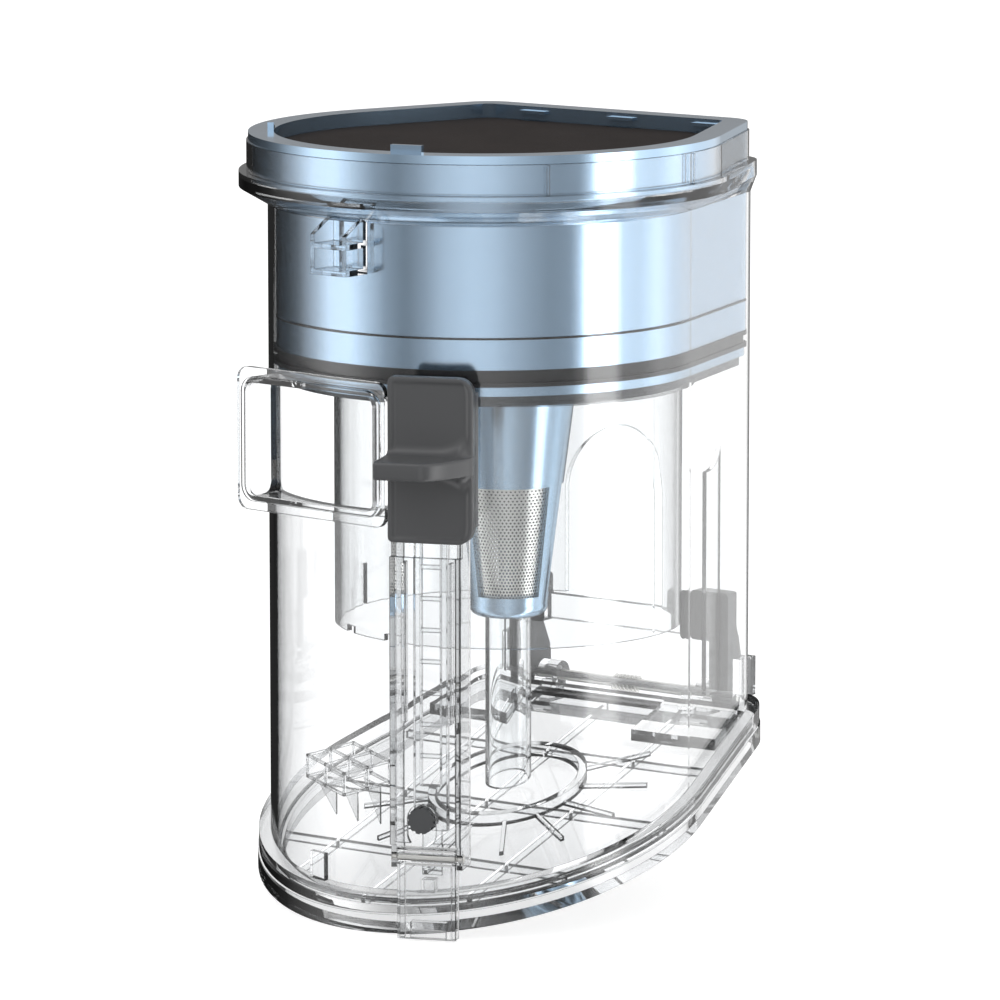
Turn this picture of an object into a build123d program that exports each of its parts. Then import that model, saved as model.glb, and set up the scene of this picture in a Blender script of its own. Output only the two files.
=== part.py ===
"""Cyclone dust bin: a clear D-shaped bin with a slanted door, a tangential inlet, a thumb release
and a blue cyclone unit that lifts out of its top.

Millimetres, +Z up along the cyclone's axis. -Y is the front and the flat side faces +Y. Heights in
this file are measured from the foot's lowest level. The pieces are exported with the origin on the
axis of the round front, in the top plane of the rim.
"""
from build123d import *
from math import acos, atan2, cos, hypot, pi, radians, sin
import os

# Plan of the bin: a round front joined by straight sides to two rear corners
FRONT_R = 88.0
REAR_Y = 94.5
REAR_HALF = 71.0
CORNER_R = 14.0
LEAST_CORNER = 3.0

# Plan of the collar and rim, which is rounder than the bin
RIM_FRONT_R = FRONT_R + 4.3
RIM_REAR_Y = REAR_Y - 2.3
RIM_REAR_HALF = REAR_HALF - 3.4
RIM_CORNER_R = CORNER_R + 1.0

# Height and walls of the bin
TOTAL_H = 300.0
WALL = 2.4
WALL_OUT = -3.2            # offset of the wall's outside from the plan
WALL_IN = WALL_OUT - WALL
COLLAR_WALL = 2.0
COLLAR_OUT = 0.7            # offset of the collar's outside from the rim's plan
COLLAR_IN = COLLAR_OUT - COLLAR_WALL
LIP_OUT = 3.7
LIP_H = 6.0
LIP_DROP = 15.0            # from the rim's top down to the lip's top
SHOULDER_H = 6.5
RIM_T = 3.2

# Slanted foot: heights where the planes cross the origin's axis, and their rise towards +Y
SLANT = 0.2972
FOOT_BASE = 26.75
DOOR_LIP_T = 7.2
SEAM_GAP = 0.4
FOOT_FLANGE_H = 7.3
FOOT_OUT = 1.5
DOOR_OUT = 1.9
FLOOR_RISE = 2.85
FLOOR_T = 2.4
DOOR_SEAL_H = 1.2
SEAL_GROOVE = 1.0

# Running clearances
FIT_GAP = 0.8
SEAL_GAP = 0.3
SLIDE_GAP = 0.4
PIN_GAP = 0.05

# Cyclone unit
CYCLONE_X = 4.8
CYCLONE_Y = 8.0
RIM_IN = -10.0
RECESS_DEPTH = 5.6
PAD_T = 8.0
SHELF_W = 7.0
NECK_H = 13.8
BARREL_WALL = 2.4
BARREL_H = 53.5
GROOVE_W = 0.8
GROOVE_D = 0.9
LOWER_RING_H = 11.9
SEAL_H = 6.4
CLAMP_H = 3.6
PLATE_H = 4.0
PLATE_OUT = -9.0
CONE_TOP_R = 27.0
CONE_LOW_R = 15.6
CONE_H = 89.1
CONE_RING_T = 1.4
CONE_WALL = 1.8
WINDOW_H = 44.0
WINDOW_SILL = 3.5
WINDOW_RIB_DEG = 26.0
WINDOW_COUNT = 3
WINDOW_TURN_DEG = 65.0
SCREEN_T = 0.6
HOLE_ROWS = 4
HOLE_COLS = 3
HOLE_W = 6.0
HOLE_H = 7.5
CAP_H = 5.0
SHROUD_R = 68.0
SHROUD_T = 2.0
SHROUD_H = 96.1
ARCH_DEG = 79.0            # direction of the rear window, from +X
ARCH_W = 56.0
ARCH_H = 69.5
NOTCH_DEG = (-119.0, -97.0)
NOTCH_W = 6.0
NOTCH_H = 2.6
SIDE_SLOT_DEG = 186.0
SIDE_SLOT_W = 3.0
SIDE_SLOT_H = 16.5
TUBE_R = 9.0
TUBE_T = 1.4
TUBE_SEAT_T = 3.4
TUBE_FLOOR_GAP = 4.4
TAB_DEG = 14.0
POST_DEG = -58.0
TAB_W = 12.5
TAB_T = 2.4
TAB_H = 2.8
LEDGE_W = 12.0
LEDGE_T = 1.2
LEDGE_REACH = 2.0
LEDGE_XS = (-34.0, 8.0, 48.0)

# Inlet duct, in a frame turned about Z with its flange facing -Y
DUCT_DEG = -6.2
FLANGE_STAND = -0.4        # from the round front to the flange's face
FLANGE_T = 2.2
FLANGE_LEFT = 50.8
FLANGE_RIGHT = 25.4
FLANGE_DROP = 46.4         # from the unit's floor to the flange's foot
FLANGE_H = 55.5
FLANGE_R = 5.0
PORT_SIDE = 5.2            # flange left and right of the port
PORT_SILL = 5.8
PORT_H = 44.0
PORT_R = 4.0
DUCT_WALL = 2.2
DUCT_LIP = 1.2

# Release, in a frame turned about Z with the lever facing -Y
LATCH_DEG = 20.0
CHANNEL_X = 2.0
CHANNEL_W = 28.0
CHANNEL_STAND = 9.6
RAIL_T = 2.2
RAIL_H = 59.5              # of the rails behind the lever
COVER_T = 2.0
COVER_DROP = 6.5           # from the lever's foot to the cover's top
CATCH_H = 36.4
ROD_W = 13.0
ROD_T = 4.4
ROD_GAP = 1.0              # between the rod's back and the bin wall
ROD_TIP_DROP = 8.0         # from the catch's pivot to the rod's tip
ROD_HEAD_H = 51.5
STEM_FOOT_H = 12.1
STEM_W = 5.4
ROD_RUNGS = 9
LEVER_X = 5.4
LEVER_W = 33.0
LEVER_DROP = 2.7           # from the flange's foot to the lever's
LEVER_H = 63.0
LEVER_T = 5.2
LEVER_R = 6.0
LEVER_TRAVEL = 5.0
THUMB_RISE = 26.5
THUMB_H = 7.0
THUMB_REACH = 21.0
THUMB_TIP_W = 22.0
SPRING_R = 3.2
SPRING_WIRE = 0.8
SPRING_TURNS = 5.0
SPRING_RISE = 29.5
HEAD_H = 4.0
PIN_HEAD_R = 5.2
PIN_HEAD_T = 8.4
PIN_SHIFT = -1.6
PIN_SHANK_R = 2.6
PIN_RISE = 15.0            # from the catch's pivot to the pin
PIVOT_RISE = 31.4
CATCH_PIVOT_R = 1.6
CATCH_T = 3.4
HEEL_W = 5.0
HEEL_H = 5.0
HEEL_GAP = 0.6
CATCH_SIDE_GAP = 0.4
NOSE_BITE = 1.6
NOSE_H = 2.6
LUG_W = 14.0
LUG_H = 3.2

# Hinge of the door, along X behind the flat side
HINGE_STAND = 7.7          # behind the flat side
HINGE_RISE = 12.2          # above the door's lip
HINGE_R = 2.0
KNUCKLE_R = 5.4
BRACKET_W = 18.0
BRACKET_INSET = 19.0
BRACKET_RISE = 23.0
BRACKET_H = 20.0
BRACKET_T = 7.0
ARM_W = 10.0
BAR_H = 12.0
BAR_T = 4.0
BOSS_W = 5.0
BOSS_GAP = 2.5
BOSS_RISE = 17.0
KNUCKLE_W = 9.0
HINGE_SPRING_R = 2.75
HINGE_SPRING_WIRE = 1.0
HINGE_SPRING_TURNS = 7.0
HINGE_SPRING_PITCH = 1.9

# Door floor
RING_R = 31.0
RING_W = 3.2
RING_H = 4.6
BLOCK_FRONT_Y = 57.0
BLOCK_INNER_X = 30.5
BLOCK_H = 4.5
STRIP_FRONT_Y = 83.0
RIB_T = 1.6
RIB_H = 1.6
RIB_DEGS = (-150.0, -118.0, -84.0, -58.0, -34.0, -10.0, 16.0, 44.0)
UNDER_RIB_H = 3.0
UNDER_RIB_X = 40.0
UNDER_RIB_Y = 44.0
RIB_REACH = 26.0
LONG_RIB_REACH = 34.0
LONG_RIB_DEG = -84.0
GUIDE_X = 48.0
GUIDE_T = 2.0
GUIDE_D = 11.0
GUIDE_DROP = 33.6

# Hook bracket under the lip
HOOK_DEG = -3.0
HOOK_W = 17.4
HOOK_REACH = 13.5
HOOK_RISE = 2.5            # above the shoulder's foot
HOOK_H = 22.0
HOOK_SLOT_COUNT = 2
HOOK_T = 2.0

REACH = 400.0              # longer than anything in the model


BIN = (FRONT_R, REAR_Y, REAR_HALF, CORNER_R)
RIM = (RIM_FRONT_R, RIM_REAR_Y, RIM_REAR_HALF, RIM_CORNER_R)


def plan(off, outline=BIN):
    """Face of an outline in plan, grown outwards by off."""
    front_r, rear_y, rear_half, corner_r = outline
    arm = hypot(rear_half - corner_r, rear_y - corner_r)
    turn = atan2(rear_y - corner_r, rear_half - corner_r) - acos((front_r - corner_r) / arm)
    nx = cos(turn)
    ny = sin(turn)
    front = front_r + off
    corner = max(corner_r + off, LEAST_CORNER)
    cy = rear_y + off - corner
    cx = (front - corner - ny * cy) / nx
    mid = (turn + pi / 2) / 2
    side = (cx + corner * nx, cy + corner * ny)
    bulge = (cx + corner * cos(mid), cy + corner * sin(mid))
    back = (cx, rear_y + off)
    waist = (front * nx, front * ny)
    return make_face([
        Line((-back[0], back[1]), back),
        ThreePointArc(back, bulge, side),
        Line(side, waist),
        ThreePointArc(waist, (0, -front), (-waist[0], waist[1])),
        Line((-waist[0], waist[1]), (-side[0], side[1])),
        ThreePointArc((-side[0], side[1]), (-bulge[0], bulge[1]), (-back[0], back[1])),
    ])


def prism(off, low, high, outline=BIN):
    """Solid of a plan between two heights."""
    return Pos(0, 0, low) * extrude(plan(off, outline), high - low)


def band(out, inner, low, high):
    """Wall that follows the bin's plan between two offsets."""
    return prism(out, low, high) - prism(inner, low - 1, high + 1)


def flare(off_low, low, off_high, high):
    """Solid that grows from the bin's plan to the rim's over a height."""
    return loft([Pos(0, 0, low) * plan(off_low), Pos(0, 0, high) * plan(off_high, RIM)])


def slab(low, high):
    """Slanted layer between two levels, each given where its plane crosses the axis."""
    rise = REACH * SLANT
    side = make_face(Polyline(
        (-REACH, low - rise), (REACH, low + rise), (REACH, high + rise), (-REACH, high - rise),
        close=True))
    return Pos(-REACH, 0, 0) * extrude(Plane.YZ * side, 2 * REACH)


def slanted_band(out, inner, low, high):
    """Wall that follows the plan and has slanted lower and upper faces."""
    return (prism(out, -REACH, REACH) - prism(inner, -REACH - 1, REACH + 1)) & slab(low, high)


def block(x0, x1, y0, y1, z0, z1):
    """Box between two corners."""
    return Pos((x0 + x1) / 2, (y0 + y1) / 2, (z0 + z1) / 2) * Box(x1 - x0, y1 - y0, z1 - z0)


def slant_z(level, y):
    """Height of a slanted plane at a distance y."""
    return level + SLANT * y


def at_latch(shape):
    return Rot(0, 0, LATCH_DEG) * shape


def at_duct(shape):
    return Rot(0, 0, DUCT_DEG) * shape


def at_cyclone(shape):
    return Pos(CYCLONE_X, CYCLONE_Y, 0) * shape


def round_front(off):
    """Distance from the axis to the round front at an offset of the plan."""
    return FRONT_R + off


# Heights that follow from the rim
RIM_Z = TOTAL_H - RIM_T
LIP_TOP_Z = TOTAL_H - LIP_DROP
LIP_LOW_Z = LIP_TOP_Z - LIP_H
SHOULDER_Z = LIP_LOW_Z - SHOULDER_H
HOOK_TOP_Z = SHOULDER_Z + HOOK_RISE
NECK_Z = RIM_Z - NECK_H
GROOVE_Z = NECK_Z - BARREL_H
RING_LOW_Z = GROOVE_Z - LOWER_RING_H
SEAL_LOW_Z = RING_LOW_Z - SEAL_H
CLAMP_LOW_Z = SEAL_LOW_Z - CLAMP_H
PLATE_LOW_Z = CLAMP_LOW_Z - PLATE_H
CONE_LOW_Z = PLATE_LOW_Z - CONE_H
WINDOW_LOW_Z = CONE_LOW_Z + WINDOW_SILL
WINDOW_TOP_Z = WINDOW_LOW_Z + WINDOW_H
SHROUD_LOW_Z = PLATE_LOW_Z - SHROUD_H
ARCH_TOP_Z = SHROUD_LOW_Z + ARCH_H
SIDE_SLOT_TOP_Z = SHROUD_LOW_Z + SIDE_SLOT_H
GUIDE_TOP_Z = PLATE_LOW_Z - GUIDE_DROP
FLANGE_LOW_Z = PLATE_LOW_Z - FLANGE_DROP
PORT_LOW_Z = FLANGE_LOW_Z + PORT_SILL
LEVER_LOW_Z = FLANGE_LOW_Z - LEVER_DROP
RAIL_TOP_Z = LEVER_LOW_Z + RAIL_H
COVER_TOP_Z = LEVER_LOW_Z - COVER_DROP
STEM_Z = LEVER_LOW_Z + STEM_FOOT_H
ROD_TOP_Z = LEVER_LOW_Z + ROD_HEAD_H
THUMB_Z = LEVER_LOW_Z + THUMB_RISE
SPRING_LOW_Z = LEVER_LOW_Z + SPRING_RISE

# Heights that follow from the foot
LIP_SEAM = FOOT_BASE + DOOR_LIP_T
FOOT_TOP = LIP_SEAM + FOOT_FLANGE_H
FLOOR_LEVEL = LIP_SEAM + FLOOR_RISE
DOOR_SEAL_LOW = FLOOR_LEVEL - (FLOOR_T + DOOR_SEAL_H) / 2
CATCH_LOW_Z = slant_z(FOOT_BASE, -FRONT_R)
CATCH_TOP_Z = CATCH_LOW_Z + CATCH_H
CATCH_PIVOT_Z = CATCH_LOW_Z + PIVOT_RISE
ROD_LOW_Z = CATCH_PIVOT_Z - ROD_TIP_DROP
PIN_Z = CATCH_PIVOT_Z + PIN_RISE
HINGE_Z = slant_z(FOOT_BASE, REAR_Y) + HINGE_RISE
BRACKET_LOW_Z = HINGE_Z + BRACKET_RISE
BOSS_TOP_Z = HINGE_Z + BOSS_RISE

# Places in plan
HINGE_Y = REAR_Y + HINGE_STAND
BRACKET_HALF = REAR_HALF - BRACKET_INSET
BRACKET_INNER = BRACKET_HALF - BRACKET_W
BOSS_X = BRACKET_HALF + BOSS_GAP + BOSS_W / 2
FLANGE_Y = FRONT_R + FLANGE_STAND
PORT_LEFT = FLANGE_LEFT - PORT_SIDE
PORT_RIGHT = FLANGE_RIGHT - PORT_SIDE
CHANNEL_Y = FRONT_R + CHANNEL_STAND
CHANNEL_LEFT = CHANNEL_X - CHANNEL_W / 2
CHANNEL_RIGHT = CHANNEL_X + CHANNEL_W / 2
PIN_X = CHANNEL_X + PIN_SHIFT
BARREL_OUT = WALL_IN - FIT_GAP
PAD_TOP_Z = TOTAL_H - RECESS_DEPTH
PAD_LOW_Z = PAD_TOP_Z - PAD_T
NECK_OUT = COLLAR_IN - SLIDE_GAP
DOOR_PLUG = WALL_IN - FIT_GAP
SEAL_OUT = WALL_IN - SEAL_GAP
ROD_BACK_Y = -(round_front(WALL_OUT) + ROD_GAP)
ROD_FRONT_Y = ROD_BACK_Y - ROD_T
CATCH_FRONT_Y = -CHANNEL_Y + COVER_T - 1.0
CATCH_BACK_Y = CATCH_FRONT_Y + CATCH_T
PIVOT_Y = CATCH_FRONT_Y + CATCH_T / 2 + 1.2
LUG_FRONT_Y = CATCH_BACK_Y + SEAL_GAP


def inlet_hole():
    """Space that the duct's outside takes through the bin wall."""
    return at_duct(block(
        -PORT_LEFT - DUCT_WALL, PORT_RIGHT + DUCT_WALL, -FLANGE_Y - 1, -FRONT_R / 3,
        PORT_LOW_Z - DUCT_WALL, PORT_LOW_Z + PORT_H + DUCT_WALL))


def hook_bracket():
    """Stepped open hook under the lip: three shelves between two cheeks, with a sloping top."""
    back = -round_front(WALL_OUT) + WALL / 2
    front = back - HOOK_REACH
    low = HOOK_TOP_Z - HOOK_H
    body = block(-HOOK_W / 2, HOOK_W / 2, front, back, low, HOOK_TOP_Z)
    clear = (HOOK_H - (HOOK_SLOT_COUNT + 1) * HOOK_T) / HOOK_SLOT_COUNT
    for i in range(HOOK_SLOT_COUNT):
        z = low + HOOK_T + i * (clear + HOOK_T)
        body -= block(-HOOK_W / 2 + HOOK_T, HOOK_W / 2 - HOOK_T, front - 1, back - HOOK_T, z, z + clear)
    slope = make_face(Polyline(
        (front - 1, HOOK_TOP_Z - HOOK_H / 3), (back, HOOK_TOP_Z + 1), (front - 1, HOOK_TOP_Z + 1),
        close=True))
    body -= Pos(-HOOK_W, 0, 0) * extrude(Plane.YZ * slope, 2 * HOOK_W)
    return Rot(0, 0, HOOK_DEG) * body


def channel_rails():
    """Two rails down the front of the bin that guide the rod and hold the cover."""
    back = -round_front(WALL_OUT) + WALL / 2
    low = CATCH_TOP_Z
    rails = []
    for x in (CHANNEL_LEFT, CHANNEL_RIGHT - RAIL_T):
        rails.append(block(x, x + RAIL_T, -CHANNEL_Y, back, low, COVER_TOP_Z))
        rails.append(block(x, x + RAIL_T, -CHANNEL_Y + LEVER_T / 2, back, COVER_TOP_Z, RAIL_TOP_Z))
    shelf_x = CHANNEL_RIGHT - RAIL_T - 2 * SPRING_R - 2 * SLIDE_GAP - SPRING_WIRE
    rails.append(block(
        shelf_x, CHANNEL_RIGHT - RAIL_T / 2, ROD_FRONT_Y, back,
        SPRING_LOW_Z - RAIL_T, SPRING_LOW_Z))
    return at_latch(rails[0].fuse(*rails[1:]))


def catch_ears():
    """Ears at the foot of the rails that carry the catch's pivot."""
    back = -round_front(WALL_OUT) + WALL / 2
    low = CATCH_PIVOT_Z - 2.5 * CATCH_PIVOT_R
    ears = []
    for x in (CHANNEL_LEFT, CHANNEL_RIGHT - RAIL_T):
        ears.append(block(x, x + RAIL_T, -CHANNEL_Y + COVER_T, back, low, CATCH_TOP_Z + 1))
    return at_latch(ears[0].fuse(ears[1]))


def catch_bore(radius):
    """Cylinder along the catch's pivot, right across the channel."""
    bore = Pos(CHANNEL_X, PIVOT_Y, CATCH_PIVOT_Z) * Rot(0, 90, 0) * Cylinder(radius, CHANNEL_W + 2)
    return at_latch(bore)


def make_bin_shell():
    lower = band(WALL_OUT, WALL_IN, 0, SHOULDER_Z)
    lower = lower - (prism(WALL_OUT + 1, -REACH, REACH) & slab(-REACH, LIP_SEAM + SEAM_GAP))
    collar = flare(WALL_OUT, SHOULDER_Z, LIP_OUT, LIP_LOW_Z) + prism(LIP_OUT, LIP_LOW_Z, LIP_TOP_Z, RIM)
    collar += prism(COLLAR_OUT, LIP_TOP_Z, RIM_Z - PIN_GAP, RIM)
    collar -= prism(WALL_IN, SHOULDER_Z - 1, LIP_LOW_Z + 1)
    collar -= flare(WALL_IN, SHOULDER_Z + WALL, COLLAR_IN, NECK_Z - SLIDE_GAP)
    collar -= prism(COLLAR_IN, NECK_Z - SLIDE_GAP, TOTAL_H, RIM)
    foot = slanted_band(FOOT_OUT, WALL_IN, LIP_SEAM + SEAM_GAP, FOOT_TOP)
    shell = lower + collar + foot
    shell += channel_rails()
    shell += catch_ears()
    shell += hook_bracket()
    for side in (-1, 1):
        shell += guide_rib(side)
        shell += hinge_boss(side)
    shell += rear_bar()
    shell -= inlet_hole()
    shell -= catch_bore(CATCH_PIVOT_R + PIN_GAP)
    return shell


def guide_rib(side):
    """Upright rib inside the flat side, with an arched top, that steers the cyclone unit."""
    back = REAR_Y + WALL_IN + WALL / 2
    low = slant_z(FOOT_TOP, REAR_Y) + 1.0
    x = side * GUIDE_X
    rib = block(x - GUIDE_T / 2, x + GUIDE_T / 2, back - GUIDE_D, back, low, GUIDE_TOP_Z)
    arch = Pos(x, back - GUIDE_D, GUIDE_TOP_Z) * Rot(0, 90, 0) * Cylinder(GUIDE_D - WALL / 2, 2 * GUIDE_T)
    return rib - arch


def hinge_boss(side):
    """Clear ear outside the rear corner, beside the hinge bracket."""
    x = side * BOSS_X
    back = REAR_Y + WALL_OUT - WALL / 2
    low = slant_z(FOOT_TOP, REAR_Y) - 1.0
    return block(x - BOSS_W / 2, x + BOSS_W / 2, back, HINGE_Y, low, BOSS_TOP_Z)


def rear_bar():
    """Clear bar across the flat side, between the hinge brackets."""
    back = REAR_Y + WALL_OUT
    half = BRACKET_INNER - SEAL_GAP / 3
    bar = block(-half, half, back - WALL / 2, back + BAR_T, BRACKET_LOW_Z + 2, BRACKET_LOW_Z + BAR_H)
    return bar


def make_inlet_duct():
    width = FLANGE_LEFT + FLANGE_RIGHT
    centre_x = (FLANGE_RIGHT - FLANGE_LEFT) / 2
    flange = RectangleRounded(width, FLANGE_H, FLANGE_R)
    plate = Pos(centre_x, -FLANGE_Y + FLANGE_T, FLANGE_LOW_Z + FLANGE_H / 2) * extrude(
        Plane.XZ * flange, FLANGE_T)
    port_w = PORT_LEFT + PORT_RIGHT
    port_x = (PORT_RIGHT - PORT_LEFT) / 2
    port_z = PORT_LOW_Z + PORT_H / 2
    outer = Plane.XZ * RectangleRounded(port_w + 2 * DUCT_WALL, PORT_H + 2 * DUCT_WALL, PORT_R + DUCT_WALL)
    inner = Plane.XZ * RectangleRounded(port_w, PORT_H, PORT_R)
    tube = Pos(port_x, -FLANGE_Y / 3, port_z) * extrude(outer, 2 * FLANGE_Y / 3 + DUCT_LIP)
    hole = Pos(port_x, 0, port_z) * extrude(inner, 2 * FLANGE_Y)
    duct = at_duct(plate + tube) - at_duct(hole)
    weld = SEAL_GAP / 2
    return duct - prism(WALL_IN + weld, FLANGE_LOW_Z - FLANGE_H, FLANGE_LOW_Z + 2 * FLANGE_H)


def make_channel_cover():
    """Clear strip over the channel, with a window where the pin shows."""
    gap = SLIDE_GAP / 4
    cover = block(
        CHANNEL_LEFT + RAIL_T + gap, CHANNEL_RIGHT - RAIL_T - gap,
        -CHANNEL_Y, -CHANNEL_Y + COVER_T, CATCH_TOP_Z + 1, COVER_TOP_Z)
    window = Pos(PIN_X, -CHANNEL_Y + COVER_T / 2, PIN_Z - LEVER_TRAVEL / 2) * Rot(90, 0, 0) * extrude(
        SlotOverall(
            2 * PIN_HEAD_R + LEVER_TRAVEL + 4 * SLIDE_GAP, 2 * PIN_HEAD_R + 2 * SLIDE_GAP, rotation=90),
        COVER_T, both=True)
    ribs = []
    for x in (CHANNEL_LEFT + 2 * RAIL_T, CHANNEL_RIGHT - 2 * RAIL_T - RAIL_T / 2):
        ribs.append(block(
            x, x + RAIL_T / 2, -CHANNEL_Y + COVER_T - gap, ROD_FRONT_Y - SLIDE_GAP,
            CATCH_TOP_Z + PIN_Z, COVER_TOP_Z - RAIL_T))
    return at_latch((cover - window).fuse(*ribs))


def make_push_rod():
    """Ladder-like rod: two stiles and rungs, a head for the spring and a wedge at the foot."""
    stile = 2.6
    x0 = CHANNEL_X - ROD_W / 2
    x1 = CHANNEL_X + ROD_W / 2
    low = PIN_Z + 2 * PIN_HEAD_R
    rod = block(x0, x0 + stile, ROD_FRONT_Y, ROD_BACK_Y, low, STEM_Z)
    rod += block(x1 - stile, x1, ROD_FRONT_Y, ROD_BACK_Y, low, STEM_Z)
    rod += block(x0, x0 + STEM_W, ROD_FRONT_Y, ROD_BACK_Y, STEM_Z - 1, ROD_TOP_Z)
    step = (LEVER_LOW_Z - low) / (ROD_RUNGS - 1)
    for i in range(ROD_RUNGS):
        z = low + i * step
        rod += block(x0 + stile / 2, x1 - stile / 2, ROD_FRONT_Y + 1.2, ROD_BACK_Y - 1.2, z, z + 1.6)
    head_x = CHANNEL_RIGHT - RAIL_T - SLIDE_GAP
    rod += block(x0, head_x, ROD_FRONT_Y, ROD_BACK_Y, ROD_TOP_Z, ROD_TOP_Z + HEAD_H)
    rod += block(x0, x1, ROD_FRONT_Y, ROD_BACK_Y, LEVER_LOW_Z + 4, STEM_Z)
    rod += block(x0, x1, ROD_FRONT_Y, ROD_BACK_Y, PIN_Z - PIN_HEAD_R, low + 1.6)
    tip = make_face(Polyline(
        (ROD_BACK_Y, PIN_Z - PIN_HEAD_R), (ROD_BACK_Y, ROD_LOW_Z),
        (ROD_BACK_Y - ROD_T / 4, ROD_LOW_Z),
        (ROD_BACK_Y - ROD_T / 2, ROD_LOW_Z + 8.0), (ROD_BACK_Y - ROD_T / 2, PIN_Z - PIN_HEAD_R),
        close=True))
    rod += Pos(x0 + stile, 0, 0) * extrude(Plane.YZ * tip, ROD_W - 2 * stile)
    rod -= Pos(PIN_X, ROD_BACK_Y, PIN_Z) * Rot(90, 0, 0) * Cylinder(PIN_SHANK_R + PIN_GAP, 3 * ROD_T)
    return at_latch(rod)


def make_rod_pin():
    """Dark pin in the rod's foot, with a notched round head."""
    shank = Pos(PIN_X, (ROD_BACK_Y + ROD_FRONT_Y) / 2, PIN_Z) * Rot(90, 0, 0) * Cylinder(
        PIN_SHANK_R, ROD_T)
    head_y = ROD_FRONT_Y - PIN_HEAD_T / 2
    head = Pos(PIN_X, head_y, PIN_Z) * Rot(90, 0, 0) * Cylinder(PIN_HEAD_R, PIN_HEAD_T)
    count = 12
    notch = Box(1.0, 1.0, PIN_HEAD_T + 2)
    for i in range(count):
        head -= Pos(PIN_X, head_y, PIN_Z) * Rot(90, 0, 0) * Rot(0, 0, 360 / count * i) * (
            Pos(PIN_HEAD_R, 0, 0) * notch)
    return at_latch(shank + head)


def make_release_lever():
    """Dark plate with a thumb ledge whose right side sweeps back to the plate."""
    x0 = LEVER_X - LEVER_W / 2
    x1 = LEVER_X + LEVER_W / 2
    front = -CHANNEL_Y - SLIDE_GAP - LEVER_T
    back = -CHANNEL_Y - SLIDE_GAP
    high = LEVER_LOW_Z + LEVER_H
    plate = block(x0, x1, front, back, LEVER_LOW_Z, high)
    plate = fillet(plate.edges().filter_by(Axis.Y).group_by(Axis.X)[-1], LEVER_R)
    plate = fillet(plate.edges().filter_by(Axis.Y).group_by(Axis.X)[0], LEVER_R / 3)
    top = make_face([
        Line((x0, front + 1), (x0, front - THUMB_REACH + 3)),
        Line((x0, front - THUMB_REACH + 3), (x0 + 3, front - THUMB_REACH)),
        Line((x0 + 3, front - THUMB_REACH), (x0 + THUMB_TIP_W - 2, front - THUMB_REACH)),
        ThreePointArc(
            (x0 + THUMB_TIP_W - 2, front - THUMB_REACH),
            (x0 + THUMB_TIP_W + 1, front - THUMB_REACH * 0.62), (x1, front)),
        Line((x1, front), (x1, front + 1)),
        Line((x1, front + 1), (x0, front + 1)),
    ])
    ledge = Pos(0, 0, THUMB_Z) * extrude(top, THUMB_H)
    for z in (THUMB_Z - THUMB_H * 0.9, THUMB_Z + THUMB_H * 1.9):
        web = make_face(Polyline(
            (front + 1, THUMB_Z), (front - 3.5, THUMB_Z), (front + 1, z), (front + 1, THUMB_Z + THUMB_H),
            close=True)) if z < THUMB_Z else make_face(Polyline(
                (front + 1, THUMB_Z), (front - 3.5, THUMB_Z + THUMB_H), (front + 1, z), close=True))
        ledge += Pos(x0 + 1, 0, 0) * extrude(Plane.YZ * web, LEVER_W - 2)
    rod_x0 = CHANNEL_X - ROD_W / 2
    neck = block(
        rod_x0 + 2, rod_x0 + ROD_W - 2, back - 1, ROD_FRONT_Y, LEVER_LOW_Z + 5, LEVER_LOW_Z + 11)
    side_lip = block(x1 - 2.4, x1, back - 1, back + 4.0, LEVER_LOW_Z + LEVER_R, high - LEVER_R)
    return at_latch(plate + ledge + neck + side_lip)


def make_lever_spring():
    """Coil spring between the shelf on the rail and the rod's head."""
    length = ROD_TOP_Z - SPRING_LOW_Z - SPRING_WIRE
    path = Helix(length / SPRING_TURNS, length, SPRING_R)
    section = Plane(origin=path @ 0, z_dir=path % 0) * Circle(SPRING_WIRE / 2)
    coil = sweep(section, path=path)
    x = CHANNEL_RIGHT - RAIL_T - SPRING_R - SLIDE_GAP - SPRING_WIRE / 2
    y = (ROD_FRONT_Y + ROD_BACK_Y) / 2 - SPRING_WIRE
    return at_latch(Pos(x, y, SPRING_LOW_Z + SPRING_WIRE / 2) * coil)


def make_door_catch():
    """Clear foot of the channel: a plate that turns on its pivot, with a nose under the door's lug."""
    x0 = CHANNEL_LEFT + RAIL_T + CATCH_SIDE_GAP
    x1 = CHANNEL_RIGHT - RAIL_T - CATCH_SIDE_GAP
    front = CATCH_FRONT_Y
    back = CATCH_BACK_Y
    low = CATCH_LOW_Z
    plate = block(x0, x1, front, back, low, CATCH_TOP_Z - 1.0)
    hub = Pos(CHANNEL_X, PIVOT_Y, CATCH_PIVOT_Z) * Rot(0, 90, 0) * Cylinder(2 * CATCH_PIVOT_R, x1 - x0)
    half = LUG_W / 2
    nose = block(
        CHANNEL_X - half, CHANNEL_X + half, back - 0.5, LUG_FRONT_Y + NOSE_BITE, low, low + NOSE_H)
    rib = RAIL_T
    ribs = block(x0, x0 + rib, front, back + rib, low, CATCH_PIVOT_Z)
    ribs += block(x1 - rib, x1, front, back + rib, low, CATCH_PIVOT_Z)
    heel_top = ROD_LOW_Z - HEEL_GAP
    heel = block(
        CHANNEL_X - HEEL_W / 2, CHANNEL_X + HEEL_W / 2, back - 0.5, ROD_BACK_Y - ROD_T / 4 - HEEL_GAP,
        heel_top - HEEL_H, heel_top)
    return at_latch(plate + hub + nose + ribs + heel) - catch_bore(CATCH_PIVOT_R + PIN_GAP)


def make_catch_pin():
    return at_latch(
        Pos(CHANNEL_X, PIVOT_Y, CATCH_PIVOT_Z) * Rot(0, 90, 0) * Cylinder(CATCH_PIVOT_R, CHANNEL_W))


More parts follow.
